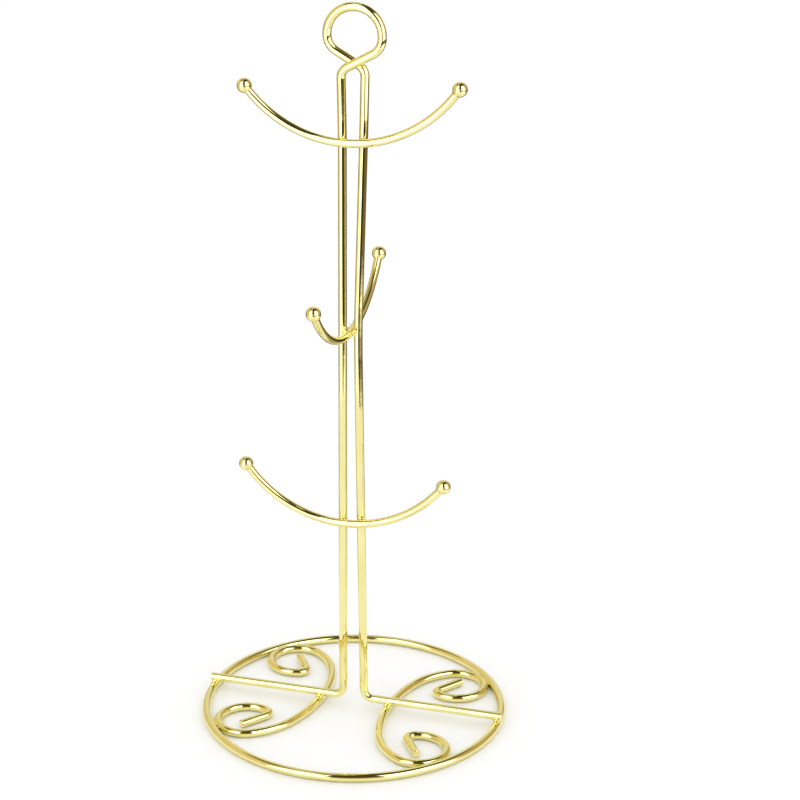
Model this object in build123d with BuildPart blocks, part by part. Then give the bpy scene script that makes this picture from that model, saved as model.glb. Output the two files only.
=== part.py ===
from build123d import *

import math
import os

# A free-standing mug tree bent from round wire: a looped frame, a scrolled base and three arms.
# Millimetres, +Z up. The origin is on the surface the tree stands on, under the middle of the
# base ring. The base bars lie along X and the middle arm lies along Y.

# Driving dimensions
height = 370.0
base_diameter = 160.0
frame_wire = 4.3  # diameter of the frame, ring and scroll wire
arm_wire = 4.0
ball_diameter = 7.3
weld_depth = 0.1  # how far two welded wires sink into each other
end_round = 0.5  # rounding of each cut wire end

# Frame
left_post_x = -5.8
right_post_x = 5.6  # at its foot
right_neck_x = 5.0  # at its head
bar_bend = 5.0  # bend between a base bar and its post
lean_z = 309.0  # above here the posts lean to pass one another at the crossing
lean_y = 2.0
lean_bend = 150.0
pinch_bend = 600.0  # long bow of the right post, which is drawn in against the middle arm

# Loop
loop_x = 0.3  # the loop stands a little to the right of the posts
loop_radius = 14.3
loop_bend = 14.2  # a little under loop_radius, so that the arcs stay apart
shoulder_bend = 8.2
crossing_drop = 26.9  # from the loop's highest centreline point to the crossing
crossing_slope = math.radians(28.5)
neck_bend = 5.6
loop_low_y = 2.8
loop_high_y = 0.7

# Scrolls, from the middle of the back to the tip. Turns are in degrees.
scroll_back_x = 18.6
back_bend, back_turn = 90.0, 19.3
flank_bend, flank_turn = 38.0, 36.5
curl_turn = 240.0  # the curl's radius follows from touching the ring
hook_bend, hook_turn = 3.8, 98.0
scroll_tip = 15.5
left_scroll_yaw = -3.5  # each scroll is welded in a little askew of the bars
right_scroll_yaw = -1.8

# Arms
arm_bend = 66.1
lower_arm_bend = 64.6
arm_half_turn = math.radians(50)
arm_tip = 3.5  # straight end of the arm, partly inside its ball
ball_reach = 0.8  # from the wire's end to the ball's centre
socket_clearance = 0.05
upper_arm_x = 0.4
upper_arm_z = 303.5
upper_arm_tilt = math.radians(1.9)  # right end up
middle_arm_y = -4.0
middle_arm_z = 207.8
middle_arm_tilt = math.radians(1.0)  # back end up
middle_arm_yaw = math.radians(0.6)  # back end to the right
lower_arm_x = -4.6
lower_arm_z = 106.6
lower_arm_tilt = math.radians(-0.7)  # right end down

# Worked out from the driving dimensions
wire_radius = frame_wire / 2
base_radius = base_diameter / 2
ring_radius = base_radius - wire_radius
bar_z = 3 * wire_radius - weld_depth
top_z = height - wire_radius
crossing_z = top_z - crossing_drop
left_neck_z = crossing_z + left_post_x * math.tan(crossing_slope)
right_neck_z = crossing_z - right_neck_x * math.tan(crossing_slope)
shoulder_z = crossing_z + loop_radius * math.tan(crossing_slope)
arm_y = -(wire_radius + arm_wire / 2 - weld_depth)
pinch_x = left_post_x + frame_wire + arm_wire - 2 * weld_depth
upper_splay = math.atan((right_neck_x - pinch_x) / (lean_z - middle_arm_z))
lower_splay = math.atan((right_post_x - pinch_x) / (middle_arm_z - bar_z))
pinch_inset = pinch_bend * (1 / math.cos((upper_splay + lower_splay) / 2) - 1)
middle_arm_x = (left_post_x + pinch_x) / 2
curl_reach = ring_radius - frame_wire + weld_depth  # where a curl touches the ring

os.makedirs("parts", exist_ok=True)


def save(piece, name):
    """Label a finished piece and write it under its own name."""
    piece.part.label = name
    export_step(piece.part, f"parts/{name}.step")


def start_plane(path):
    """The plane across a wire's path where it starts, for its round section."""
    return Plane(origin=path.wire() @ 0, z_dir=path.wire() % 0)


def round_ends(piece):
    """Take the burr off the two cut ends of a wire."""
    fillet(piece.faces().filter_by(GeomType.PLANE).edges(), end_round)


# One wire makes the left bar, left post, loop, right post and right bar. The strand that rises
# from the left post passes in front of the one that rises from the right post.
with BuildPart() as main_frame:
    with BuildLine() as frame_path:
        FilletPolyline(
            (-base_radius, 0, bar_z),
            (left_post_x, 0, bar_z),
            (left_post_x, 0, lean_z),
            (left_post_x, -lean_y, left_neck_z),
            (loop_x + loop_radius, -loop_low_y, shoulder_z),
            (loop_x + loop_radius, -loop_high_y, top_z),
            (loop_x - loop_radius, loop_high_y, top_z),
            (loop_x - loop_radius, loop_low_y, shoulder_z),
            (right_neck_x, lean_y, right_neck_z),
            (right_neck_x, 0, lean_z),
            (pinch_x - pinch_inset, 0, middle_arm_z),
            (right_post_x, 0, bar_z),
            (base_radius, 0, bar_z),
            radius=(
                bar_bend,
                lean_bend,
                neck_bend,
                shoulder_bend,
                loop_bend,
                loop_bend,
                shoulder_bend,
                neck_bend,
                lean_bend,
                pinch_bend,
                bar_bend,
            ),
        )
    with BuildSketch(start_plane(frame_path)):
        Circle(wire_radius)
    sweep()
    round_ends(main_frame)
save(main_frame, "main_frame")

# The closed ring that stands on the table
with BuildPart() as base_ring:
    with BuildSketch(Plane.XZ):
        with Locations((ring_radius, wire_radius)):
            Circle(wire_radius)
    revolve(axis=Axis.Z)
save(base_ring, "base_ring")


def curl_radius(point, heading, turn_side):
    """The radius of the bend that goes on from a point and touches the ring from inside."""
    start = Vector(point.X, point.Y, 0)
    inward = turn_side * Vector(-heading.Y, heading.X, 0)
    return (curl_reach**2 - start.length**2) / (2 * (curl_reach + start.dot(inward)))


def scroll(side, yaw):
    """Bend one C-scroll, whose back faces the middle of the base. Side is -1 at left, 1 at right."""
    with BuildPart() as piece:
        with BuildLine() as path:
            for way in (1, -1):
                turn_side = -side * way
                start = Vector(side * scroll_back_x, 0, wire_radius).rotate(Axis.Z, yaw)
                heading = Vector(0, way, 0).rotate(Axis.Z, yaw)
                back = JernArc(start, heading, back_bend, turn_side * back_turn)
                flank = JernArc(back @ 1, back % 1, flank_bend, turn_side * flank_turn)
                curl_bend = curl_radius(flank @ 1, flank % 1, turn_side)
                curl = JernArc(flank @ 1, flank % 1, curl_bend, turn_side * curl_turn)
                hook = JernArc(curl @ 1, curl % 1, hook_bend, turn_side * hook_turn)
                Line(hook @ 1, hook @ 1 + hook % 1 * scroll_tip)
        with BuildSketch(start_plane(path)):
            Circle(wire_radius)
        sweep()
        round_ends(piece)
    return piece


save(scroll(-1, left_scroll_yaw), "left_scroll")
save(scroll(1, right_scroll_yaw), "right_scroll")


def arm(plane, bend):
    """Bend one arm, low in the middle, in a plane whose X runs along it and whose Y is up."""
    bend_x = bend * math.sin(arm_half_turn)
    bend_y = bend * (1 - math.cos(arm_half_turn))
    end_x = bend_x + arm_tip * math.cos(arm_half_turn)
    end_y = bend_y + arm_tip * math.sin(arm_half_turn)
    with BuildPart() as piece:
        with BuildLine(plane) as path:
            Line((-end_x, end_y), (-bend_x, bend_y))
            ThreePointArc((-bend_x, bend_y), (0, 0), (bend_x, bend_y))
            Line((bend_x, bend_y), (end_x, end_y))
        with BuildSketch(start_plane(path)):
            Circle(arm_wire / 2)
        sweep()
    return piece


def ball(plane, bend, way):
    """Turn the ball at one end of an arm, with a blind socket that holds the wire."""
    reach = arm_tip + ball_reach
    centre_x = bend * math.sin(arm_half_turn) + reach * math.cos(arm_half_turn)
    centre_y = bend * (1 - math.cos(arm_half_turn)) + reach * math.sin(arm_half_turn)
    centre = plane.from_local_coords((way * centre_x, centre_y, 0))
    along = math.cos(arm_half_turn) * way * plane.x_dir + math.sin(arm_half_turn) * plane.y_dir
    ball_radius = ball_diameter / 2
    with BuildPart() as piece:
        with BuildSketch(Plane(origin=centre, x_dir=along, z_dir=plane.z_dir)):
            with BuildLine():
                CenterArc((0, 0), ball_radius, 0, 180)
                Line((-ball_radius, 0), (ball_radius, 0))
            make_face()
            with Locations((-ball_reach, 0)):
                Rectangle(
                    ball_radius,
                    arm_wire / 2 + socket_clearance,
                    align=(Align.MAX, Align.MIN),
                    mode=Mode.SUBTRACT,
                )
        revolve(axis=Axis(centre, along))
    return piece


# The upper and lower arms are welded across the front of both posts. The middle arm passes
# between the posts.
upper_plane = Plane(
    origin=(upper_arm_x, arm_y, upper_arm_z),
    x_dir=(math.cos(upper_arm_tilt), 0, math.sin(upper_arm_tilt)),
    z_dir=(0, -1, 0),
)
middle_plane = Plane(
    origin=(middle_arm_x, middle_arm_y, middle_arm_z),
    x_dir=(
        math.sin(middle_arm_yaw) * math.cos(middle_arm_tilt),
        math.cos(middle_arm_yaw) * math.cos(middle_arm_tilt),
        math.sin(middle_arm_tilt),
    ),
    z_dir=(math.cos(middle_arm_yaw), -math.sin(middle_arm_yaw), 0),
)
lower_plane = Plane(
    origin=(lower_arm_x, arm_y, lower_arm_z),
    x_dir=(math.cos(lower_arm_tilt), 0, math.sin(lower_arm_tilt)),
    z_dir=(0, -1, 0),
)

arms = (
    ("upper", upper_plane, arm_bend, ("left", "right")),
    ("middle", middle_plane, arm_bend, ("front", "back")),
    ("lower", lower_plane, lower_arm_bend, ("left", "right")),
)
for level, plane, bend, ends in arms:
    save(arm(plane, bend), f"{level}_arm")
    for way, end in zip((-1, 1), ends):
        save(ball(plane, bend, way), f"{level}_{end}_ball")
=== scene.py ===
"""Wire mug tree: polished brass plating, filleted welds, a white studio and the camera.

Metres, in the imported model's frame: +Z up, the base bars along X, the origin on the table.
"""

import math

import bmesh
import bpy
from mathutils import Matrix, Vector
from mathutils.bvhtree import BVHTree


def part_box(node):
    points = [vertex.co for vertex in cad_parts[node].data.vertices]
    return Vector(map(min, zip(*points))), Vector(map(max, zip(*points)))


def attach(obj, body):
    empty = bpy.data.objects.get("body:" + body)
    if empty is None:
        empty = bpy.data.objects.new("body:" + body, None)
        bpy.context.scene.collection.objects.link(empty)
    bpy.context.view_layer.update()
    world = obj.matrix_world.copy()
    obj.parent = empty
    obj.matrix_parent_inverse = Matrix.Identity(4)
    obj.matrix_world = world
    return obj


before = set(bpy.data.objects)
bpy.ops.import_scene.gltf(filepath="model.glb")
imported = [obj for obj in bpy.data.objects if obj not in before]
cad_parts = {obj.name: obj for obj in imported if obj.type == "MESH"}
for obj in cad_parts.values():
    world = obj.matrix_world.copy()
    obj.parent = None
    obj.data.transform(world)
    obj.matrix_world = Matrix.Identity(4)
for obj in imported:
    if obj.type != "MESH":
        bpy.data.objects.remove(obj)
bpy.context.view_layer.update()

MM = 0.001

# Camera: where it stands, seen from the middle of the base, and how it is aimed, in degrees
CAMERA_AZIMUTH = 16.7
CAMERA_DISTANCE = 0.952
CAMERA_HEIGHT = 0.5055
CAMERA_PITCH = -19.66
LENS_MM = 90.5
SENSOR_MM = 36.0
SHIFT = (0.0577, 0.0164)
CLIP_START = 0.01

# Welds: what is joined, the axis that the places are counted along, and a name for each place
X, Y = 0, 1
WELDS = (
    ("main_frame", "base_ring", X, ("left_bar_end", "right_bar_end")),
    ("main_frame", "left_scroll", X, ("left_scroll_back",)),
    ("main_frame", "right_scroll", X, ("right_scroll_back",)),
    ("base_ring", "left_scroll", Y, ("left_front_curl", "left_back_curl")),
    ("base_ring", "right_scroll", Y, ("right_front_curl", "right_back_curl")),
    ("main_frame", "upper_arm", X, ("upper_arm_left", "upper_arm_right")),
    ("main_frame", "middle_arm", X, ("middle_arm_left", "middle_arm_right")),
    ("main_frame", "lower_arm", X, ("lower_arm_left", "lower_arm_right")),
)
BALLS = (
    ("upper_arm", "upper_left_ball"),
    ("upper_arm", "upper_right_ball"),
    ("middle_arm", "middle_front_ball"),
    ("middle_arm", "middle_back_ball"),
    ("lower_arm", "lower_left_ball"),
    ("lower_arm", "lower_right_ball"),
)
WELD_REACH = 3.6 * MM  # how far from the contact a weld may spread
WELD_FILLET = 0.55 * MM
BALL_FILLET = 0.35 * MM
SUNK = 0.05 * MM  # a weld's surface lies this far inside the wires, so that only the fillet shows
VOXEL = 0.16 * MM
SMOOTHING = 16
SAME_WELD = 2.5 * MM  # touching faces closer together than this belong to one weld
SAME_POINT = 0.0005 * MM  # vertices closer together than this are one
NECK_SHARE = 0.8  # how far out a ball's neck lies, as a share of the ball's radius

# Brass: how fine each pattern is, in noise cells to the metre, and how deep the ripples go
DRIFT_CELLS = 90.0
SMEAR_CELLS = 420.0
WAVE_CELLS = 160.0
GRAIN_CELLS = 2600.0
RIPPLE = 0.03  # strength of both ripples
WAVE_DEPTH = 0.6 * MM
GRAIN_DEPTH = 0.05 * MM
WIRE_GLOSS = (0.03, 0.07)  # roughness, smoothest to roughest
WELD_GLOSS = (0.16, 0.26)
NOISE_LOW, NOISE_HIGH = 0.3, 0.7  # nearly all of a noise texture's values lie between these

# The studio as the wires reflect it: azimuth to the right of the camera and half width,
# elevation and half height, softness of the border, all in degrees, then the colour.
# A later patch lies over an earlier one.
WALLS = (0.80, 0.78, 0.70)
STUDIO = (
    (-120, 70, 80, 18, 6, (0.40, 0.37, 0.28)),
    (-112, 44, 20, 36, 10, (0.78, 0.64, 0.40)),
    (118, 30, 20, 32, 10, (0.54, 0.41, 0.22)),
    (-118, 34, 56, 5, 4, (0.22, 0.17, 0.09)),
    (120, 30, 52, 6, 4, (0.18, 0.14, 0.07)),
    (-148, 30, -16, 17, 6, (0.36, 0.32, 0.20)),
    (148, 30, -16, 17, 6, (0.34, 0.26, 0.14)),
    (-148, 10, -12, 15, 6, (0.22, 0.23, 0.20)),
    (146, 12, -14, 8, 4, (0.05, 0.04, 0.02)),
    (-40, 22, 18, 48, 3, (2.40, 2.40, 2.40)),
    (50, 26, 10, 46, 3, (2.40, 2.40, 2.40)),
    (66, 108, 82, 22, 3, (0.05, 0.05, 0.035)),
    (0, 20, 52, 34, 3, (0.07, 0.05, 0.02)),
    (3, 17, 2, 15, 5, (0.50, 0.40, 0.22)),
    (60, 60, -13, 4, 3, (0.17, 0.13, 0.07)),
    (16, 20, -12, 5, 3, (0.03, 0.02, 0.01)),
)
AMBIENT = 1.05

# Painted shade on the table's paper behind the tree makes the table's reflection dim there, which draws
# a thin dark edge down each post
TABLE_RADIUS = 0.51
PAINTED_SHADE_START = 0.18 * TABLE_RADIUS
PAINTED_SHADE_FULL = 0.32 * TABLE_RADIUS
WHITE_PAPER = (0.97, 0.97, 0.97)
PAINTED_SHADE_PAPER = (0.36, 0.31, 0.2)
BACKDROP_RADIUS = 8.0
BACKDROP_DROP = 0.1 * MM
DISC_SIDES = 128

# Sockets of the Mix node when it mixes colours
MIX_FIRST, MIX_SECOND, MIX_RESULT = 6, 7, 2


def new_material(name):
    """A node material with an empty tree."""
    material = bpy.data.materials.new(name)
    material.use_nodes = True
    material.node_tree.nodes.clear()
    return material, material.node_tree


def node(tree, kind, inputs=None, **settings):
    """Add a node, set its properties, and set or link its inputs."""
    made = tree.nodes.new(kind)
    for key, value in settings.items():
        setattr(made, key, value)
    for key, value in (inputs or {}).items():
        if isinstance(value, bpy.types.NodeSocket):
            tree.links.new(value, made.inputs[key])
        else:
            made.inputs[key].default_value = value
    return made


def ramp(tree, factor, stops):
    """A colour ramp from (position, colour) stops."""
    made = node(tree, "ShaderNodeValToRGB", {"Fac": factor})
    elements = made.color_ramp.elements
    while len(elements) < len(stops):
        elements.new(0.5)
    for element, (position, colour) in zip(elements, stops):
        element.position = position
        element.color = (*colour, 1)
    return made.outputs["Color"]


def brass(name, dark, light, rough):
    """Brass plating: tone that drifts from dark to light, smears in the gloss, and a faint ripple."""
    material, tree = new_material(name)
    place = node(tree, "ShaderNodeTexCoord").outputs["Object"]
    drift = node(tree, "ShaderNodeTexNoise", {"Vector": place, "Scale": DRIFT_CELLS, "Detail": 3.0})
    colour = ramp(tree, drift.outputs["Fac"], ((NOISE_LOW, dark), (NOISE_HIGH, light)))
    smears = node(tree, "ShaderNodeTexNoise", {"Vector": place, "Scale": SMEAR_CELLS, "Detail": 4.0})
    gloss = node(
        tree,
        "ShaderNodeMapRange",
        {
            "Value": smears.outputs["Fac"],
            "From Min": NOISE_LOW,
            "From Max": NOISE_HIGH,
            "To Min": rough[0],
            "To Max": rough[1],
        },
    )
    waves = node(tree, "ShaderNodeTexNoise", {"Vector": place, "Scale": WAVE_CELLS, "Detail": 2.0})
    grain = node(tree, "ShaderNodeTexNoise", {"Vector": place, "Scale": GRAIN_CELLS, "Detail": 2.0})
    broad = node(
        tree,
        "ShaderNodeBump",
        {"Height": waves.outputs["Fac"], "Strength": RIPPLE, "Distance": WAVE_DEPTH},
    )
    fine = node(
        tree,
        "ShaderNodeBump",
        {
            "Height": grain.outputs["Fac"],
            "Strength": RIPPLE,
            "Distance": GRAIN_DEPTH,
            "Normal": broad.outputs["Normal"],
        },
    )
    shader = node(
        tree,
        "ShaderNodeBsdfPrincipled",
        {
            "Base Color": colour,
            "Metallic": 1.0,
            "Roughness": gloss.outputs["Result"],
            "Normal": fine.outputs["Normal"],
        },
    )
    node(tree, "ShaderNodeOutputMaterial", {"Surface": shader.outputs["BSDF"]})
    return material


def paint_frame(material):
    """Give every carried-over CAD node the plating."""
    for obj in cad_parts.values():
        obj.data.materials.clear()
        obj.data.materials.append(material)


def closed_mesh(name):
    """A CAD node's mesh with its split vertices merged again, so that it is closed."""
    mesh = bmesh.new()
    mesh.from_mesh(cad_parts[name].data)
    bmesh.ops.remove_doubles(mesh, verts=mesh.verts, dist=SAME_POINT)
    return mesh


def clip_planes():
    """Normals of the twelve planes that cut a rounded block out of the wires."""
    ball = bmesh.new()
    bmesh.ops.create_icosphere(ball, subdivisions=1, radius=1.0)
    normals = [vert.co.normalized() for vert in ball.verts]
    ball.free()
    return normals


def contacts(first, second, axis):
    """The middle of each place where two nodes touch, in order along an axis."""
    trees = [BVHTree.FromBMesh(meshes[name]) for name in (first, second)]
    faces = meshes[second].faces
    faces.ensure_lookup_table()
    groups = []
    for index in sorted({pair[1] for pair in trees[0].overlap(trees[1])}):
        point = faces[index].calc_center_median()
        near = [group for group in groups if min((point - other).length for other in group) < SAME_WELD]
        groups = [group for group in groups if group not in near]
        groups.append([point] + [other for group in near for other in group])
    centres = [sum(group, Vector()) / len(group) for group in groups]
    return sorted(centres, key=lambda centre: centre[axis])


def ball_neck(arm, ball):
    """Where an arm goes into its ball: a point on the ball's surface, on the arm's own line."""
    low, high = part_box(ball)
    centre = (low + high) / 2
    radius = (high - low).length / 2 / math.sqrt(3)
    reach = radius * NECK_SHARE
    rim = [vert.co for vert in meshes[arm].verts if (vert.co - centre).length < reach]
    way = (sum(rim, Vector()) / len(rim) - centre).normalized()
    return centre + way * reach


def clipped(name, centre, reach):
    """The block of a node within reach of a point, closed where it is cut."""
    mesh = meshes[name].copy()
    for normal in CLIP_NORMALS:
        geometry = mesh.verts[:] + mesh.edges[:] + mesh.faces[:]
        bmesh.ops.bisect_plane(
            mesh, geom=geometry, plane_co=centre + normal * reach, plane_no=normal, clear_outer=True
        )
        rim = [edge for edge in mesh.edges if edge.is_boundary]
        bmesh.ops.holes_fill(mesh, edges=rim)
    return mesh


def weld(name, first, second, centre, fillet, material):
    """Fill the crevice between two nodes: swell both, fuse them, shrink back and smooth."""
    both = bpy.data.meshes.new(name)
    joined = bmesh.new()
    for source in (first, second):
        part = clipped(source, centre, WELD_REACH)
        part.to_mesh(both)
        part.free()
        joined.from_mesh(both)
    bmesh.ops.triangulate(joined, faces=joined.faces)
    joined.normal_update()
    joined.to_mesh(both)
    joined.free()
    obj = bpy.data.objects.new("weld_" + name, both)
    bpy.context.collection.objects.link(obj)
    remesh(obj)
    swell(obj, fillet)
    remesh(obj)
    swell(obj, -fillet - SUNK)
    smooth = obj.modifiers.new("smooth", "SMOOTH")
    smooth.iterations = SMOOTHING
    bpy.context.view_layer.update()
    shaped = obj.evaluated_get(bpy.context.evaluated_depsgraph_get())
    final = bpy.data.meshes.new_from_object(shaped)
    obj.modifiers.clear()
    obj.data = final
    bpy.data.meshes.remove(both)
    final.shade_smooth()
    final.materials.clear()
    final.materials.append(material)
    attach(obj, "root")


def remesh(obj):
    """Turn the mesh into one skin of small even faces."""
    skin = obj.modifiers.new("remesh", "REMESH")
    skin.mode = "VOXEL"
    skin.voxel_size = VOXEL


def swell(obj, distance):
    """Move the surface out along its normals, or in when the distance is negative."""
    push = obj.modifiers.new("swell", "DISPLACE")
    push.direction = "NORMAL"
    push.mid_level = 0.0
    push.strength = distance


def add_welds(material):
    """A fillet at each weld and round each ball's neck."""
    for first, second, axis, names in WELDS:
        centres = contacts(first, second, axis)
        assert len(centres) == len(names), (first, second, centres)
        for name, centre in zip(names, centres):
            weld(name, first, second, centre, WELD_FILLET, material)
    for arm, ball in BALLS:
        weld(ball, arm, ball, ball_neck(arm, ball), BALL_FILLET, material)


def studio_world():
    """White to the eye and to matt surfaces; a studio of softboxes and dark gaps in reflections."""
    world = bpy.data.worlds.new("studio")
    bpy.context.scene.world = world
    world.use_nodes = True
    tree = world.node_tree
    tree.nodes.clear()
    direction = node(tree, "ShaderNodeTexCoord").outputs["Generated"]
    parts = node(tree, "ShaderNodeSeparateXYZ", {"Vector": direction}).outputs

    def calculate(operation, *values):
        inputs = dict(enumerate(values))
        return node(tree, "ShaderNodeMath", inputs, operation=operation).outputs["Value"]

    def along(x_share, y_share):
        across = calculate("MULTIPLY", parts["X"], x_share)
        return calculate("MULTIPLY_ADD", parts["Y"], y_share, across)

    def window(value, centre, half, soft):
        """1 within half of the centre, falling to 0 over soft."""
        away = calculate("ABSOLUTE", calculate("SUBTRACT", value, centre))
        limits = {"Value": away, "From Min": half, "From Max": half + soft, "To Min": 1.0, "To Max": 0.0}
        made = node(tree, "ShaderNodeMapRange", limits, interpolation_type="SMOOTHSTEP")
        return made.outputs["Result"]

    turn = math.radians(CAMERA_AZIMUTH)
    ahead = along(math.sin(turn), -math.cos(turn))
    aside = along(math.cos(turn), math.sin(turn))
    azimuth = calculate("DEGREES", calculate("ARCTAN2", aside, ahead))
    elevation = calculate("DEGREES", calculate("ARCSINE", parts["Z"]))
    colour = (*WALLS, 1)
    for side, half_width, up, half_height, soft, patch in STUDIO:
        across = window(azimuth, side, half_width, soft)
        mask = calculate("MULTIPLY", across, window(elevation, up, half_height, soft))
        inputs = {"Factor": mask, MIX_FIRST: colour, MIX_SECOND: (*patch, 1)}
        colour = node(tree, "ShaderNodeMix", inputs, data_type="RGBA").outputs[MIX_RESULT]
    white = node(tree, "ShaderNodeBackground", {"Color": (1, 1, 1, 1), "Strength": AMBIENT})
    studio = node(tree, "ShaderNodeBackground", {"Color": colour, "Strength": 1.0})
    reflected = node(tree, "ShaderNodeLightPath").outputs["Is Glossy Ray"]
    mixed = node(tree, "ShaderNodeMixShader", {0: reflected, 1: white.outputs[0], 2: studio.outputs[0]})
    node(tree, "ShaderNodeOutputWorld", {"Surface": mixed.outputs[0]})


def disc(name, radius, height, material):
    """A round sheet that isn't part of the object."""
    mesh = bmesh.new()
    bmesh.ops.create_circle(mesh, cap_ends=True, segments=DISC_SIDES, radius=radius)
    data = bpy.data.meshes.new(name)
    mesh.to_mesh(data)
    mesh.free()
    obj = bpy.data.objects.new(name, data)
    obj.location.z = height
    bpy.context.collection.objects.link(obj)
    data.materials.append(material)
    return obj


def paper(name):
    """Matt white paper, and its shader."""
    material, tree = new_material(name)
    inputs = {"Base Color": (*WHITE_PAPER, 1), "Roughness": 0.9, "Specular IOR Level": 0.1}
    shader = node(tree, "ShaderNodeBsdfPrincipled", inputs)
    node(tree, "ShaderNodeOutputMaterial", {"Surface": shader.outputs["BSDF"]})
    return material, shader


def paint_shade_behind(tree, shader):
    """Paint shade on a sheet where it lies well behind the tree, as seen from the camera, by darkening
    its colour.
    """
    place = node(tree, "ShaderNodeNewGeometry").outputs["Position"]
    turn = math.radians(CAMERA_AZIMUTH)
    inputs = {0: place, 1: (-math.sin(turn), math.cos(turn), 0)}
    behind = node(tree, "ShaderNodeVectorMath", inputs, operation="DOT_PRODUCT").outputs["Value"]
    limits = {"Value": behind, "From Min": PAINTED_SHADE_START, "From Max": PAINTED_SHADE_FULL}
    share = node(tree, "ShaderNodeMapRange", limits).outputs["Result"]
    # painted shade: the paper colour goes from white to dark behind the tree
    tone = ramp(tree, share, ((0.0, WHITE_PAPER), (1.0, PAINTED_SHADE_PAPER)))
    tree.links.new(tone, shader.inputs["Base Color"])


def stage():
    """The backdrop that the camera sees, and the table, with painted shade behind the tree, that only
    the wires see.
    """
    white, _ = paper("white_paper")
    backdrop = disc("backdrop", BACKDROP_RADIUS, -BACKDROP_DROP, white)
    backdrop.visible_glossy = False
    shaded_table_paper, shader = paper("table_paper_painted_shade")
    # painted shade on the table's paper behind the tree
    paint_shade_behind(shaded_table_paper.node_tree, shader)
    table = disc("table", TABLE_RADIUS, 0.0, shaded_table_paper)
    table.visible_camera = False
    table.visible_diffuse = False
    table.visible_shadow = False


def camera():
    """The camera, to the right of the front and looking down at the tree."""
    data = bpy.data.cameras.new("camera")
    data.sensor_width = SENSOR_MM
    data.lens = LENS_MM
    data.shift_x, data.shift_y = SHIFT
    data.clip_start = CLIP_START
    obj = bpy.data.objects.new("camera", data)
    bpy.context.collection.objects.link(obj)
    turn = math.radians(CAMERA_AZIMUTH)
    obj.location = (CAMERA_DISTANCE * math.sin(turn), -CAMERA_DISTANCE * math.cos(turn), CAMERA_HEIGHT)
    obj.rotation_euler = (math.radians(90 + CAMERA_PITCH), 0, turn)
    bpy.context.scene.camera = obj


CLIP_NORMALS = clip_planes()
meshes = {name: closed_mesh(name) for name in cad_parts}
add_welds(brass("brazed_brass", (0.88, 0.73, 0.24), (0.93, 0.81, 0.34), WELD_GLOSS))
paint_frame(brass("polished_brass", (0.89, 0.81, 0.35), (0.94, 0.87, 0.42), WIRE_GLOSS))
studio_world()
stage()
camera()
bpy.context.scene.view_settings.view_transform = "Standard"
